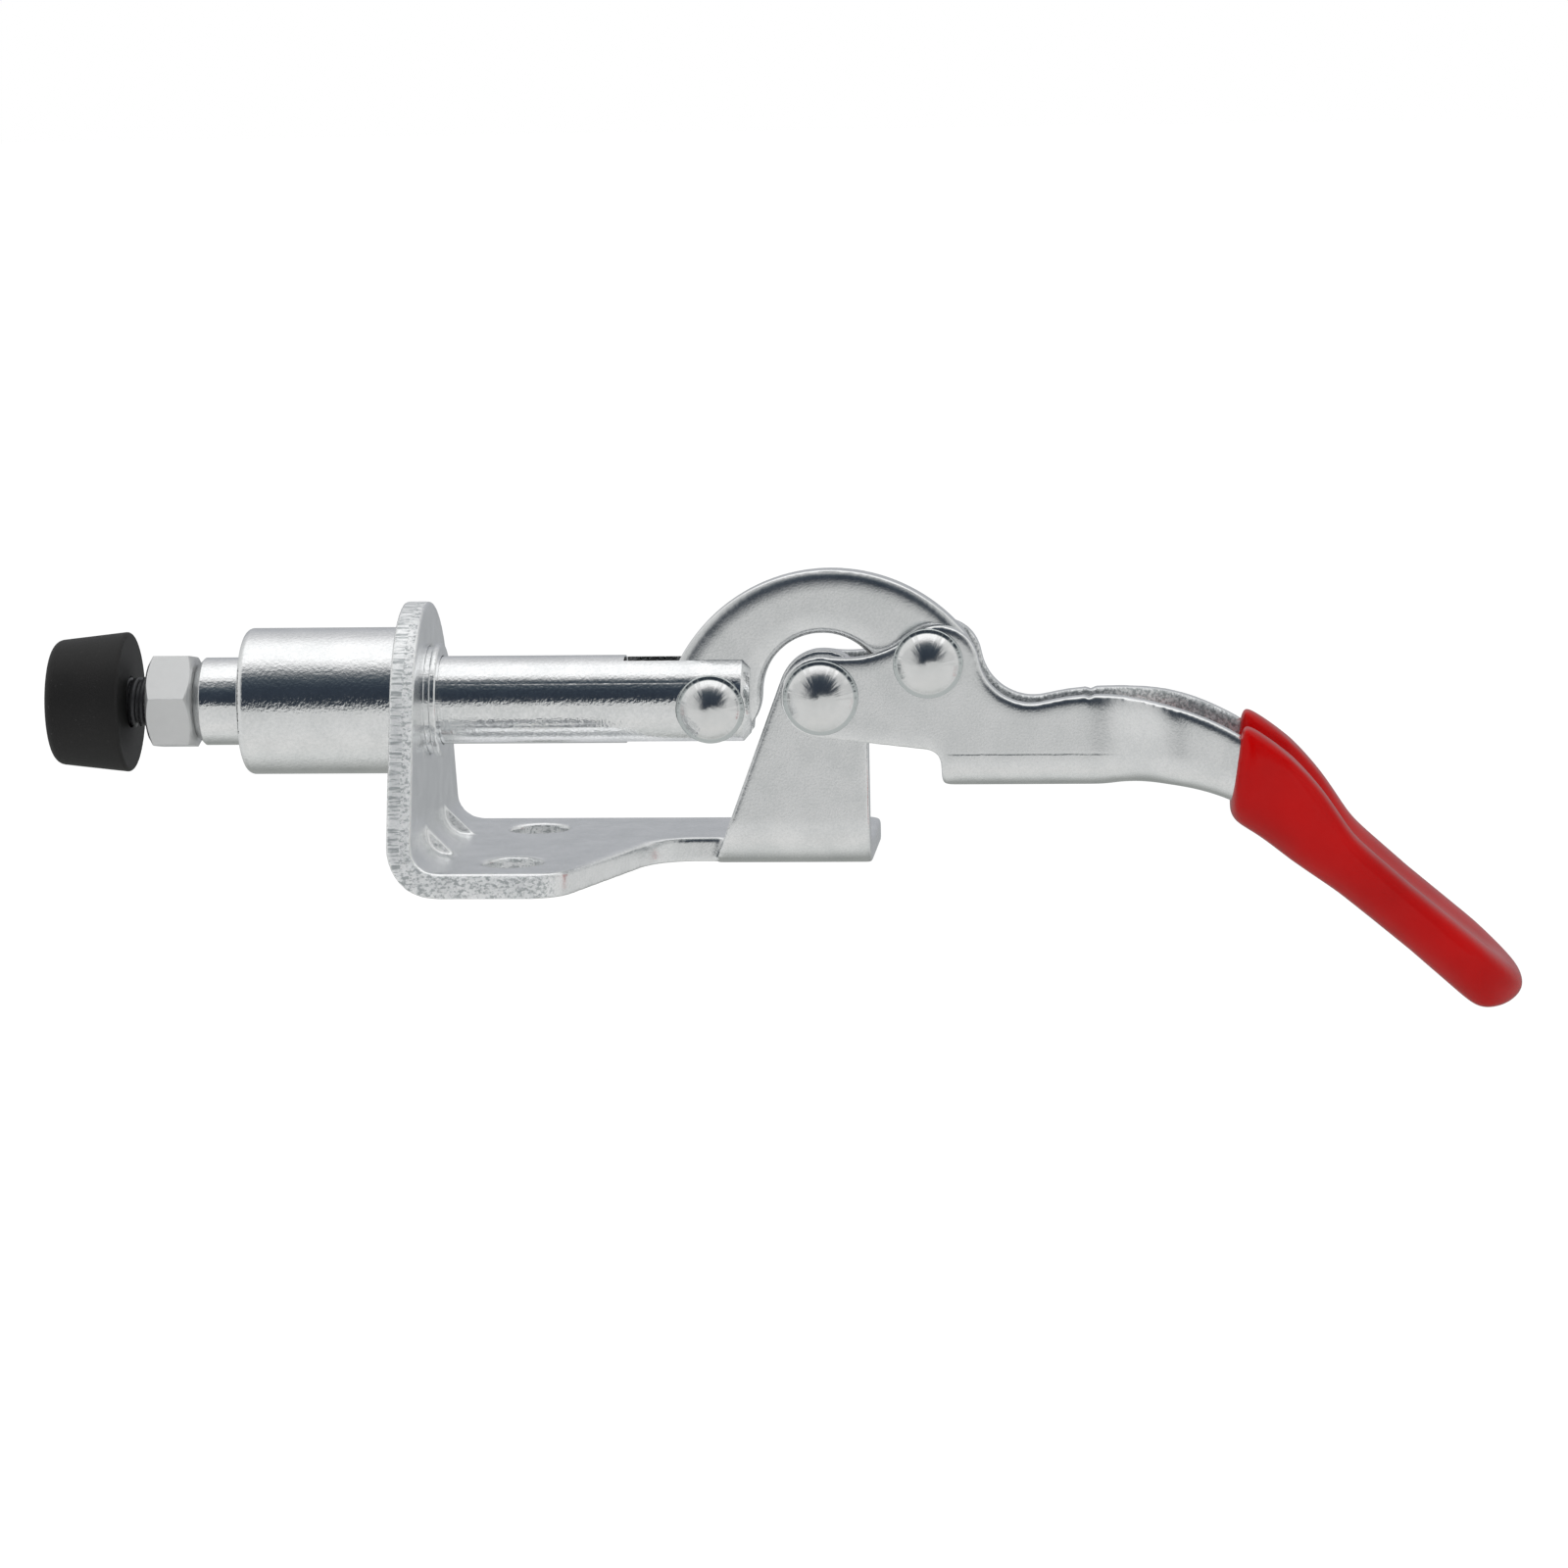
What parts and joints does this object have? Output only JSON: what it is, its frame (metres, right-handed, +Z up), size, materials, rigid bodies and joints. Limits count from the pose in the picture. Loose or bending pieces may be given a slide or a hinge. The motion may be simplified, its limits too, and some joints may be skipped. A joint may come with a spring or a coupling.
{
  "type": "push-pull toggle clamp",
  "caption": "Push-pull toggle clamp: flanged sheet-steel base, round plunger with rubber-tipped spindle, hooked link and a folded lever with a dipped red grip.",
  "frame": {"origin": "midway between the two mounting holes, on the underside of the base", "axes": "+X along the plunger from the rubber tip to the handle, +Z up from the mounting face, +Y away from the viewer of the side view"},
  "size_m": [0.1101, 0.0256, 0.0328],
  "materials": {
    "zinc_sheet": "bright zinc plate on pressed sheet",
    "zinc_turned": "bright zinc plate on turned steel",
    "bright_nut": "smooth bright plate",
    "rivet_steel": "bright formed heads",
    "dark_steel": "black oxide screw thread",
    "black_rubber": "matt moulded rubber",
    "red_dip": "glossy dipped vinyl"
  },
  "bodies": {
    "base": {"base_bracket": "zinc_sheet", "guide_barrel": "zinc_turned"},
    "plunger": {"plunger": "zinc_turned", "lock_nut": "bright_nut", "plunger_pivot_rivet": "rivet_steel"},
    "spindle": {"spindle": "dark_steel", "rubber_tip": "black_rubber"},
    "handle": {"handle_channel": "zinc_sheet", "grip": "red_dip", "handle_pivot_rivet": "rivet_steel", "link_pivot_rivet": "rivet_steel"},
    "link": {"toggle_link": "zinc_sheet"}
  },
  "joints": [
    {"name": "handle_swing", "type": "hinge", "parent": "base", "child": "handle", "pos_m": [0.02265, 0, 0.0133], "axis": [0, -1, 0], "range_deg": [-7, 169]},
    {"name": "link_swing", "type": "hinge", "parent": "handle", "child": "link", "pos_m": [0.03065, 0, 0.01582], "axis": [0, -1, 0], "range_deg": [-182, 8]},
    {"name": "plunger_slide", "type": "slide", "parent": "base", "child": "plunger", "axis": [-1, 0, 0], "range_m": [-0.0008, 0.0168]},
    {"name": "spindle_adjust", "type": "slide", "parent": "plunger", "child": "spindle", "axis": [-1, 0, 0], "range_m": [0, 0.006]}
  ],
  "couplings": [
    {"joint": "link_swing", "follows": "handle_swing", "ratio": -1.0716},
    {"joint": "plunger_slide", "follows": "handle_swing", "m_per_rad": 0.0056529}
  ]
}
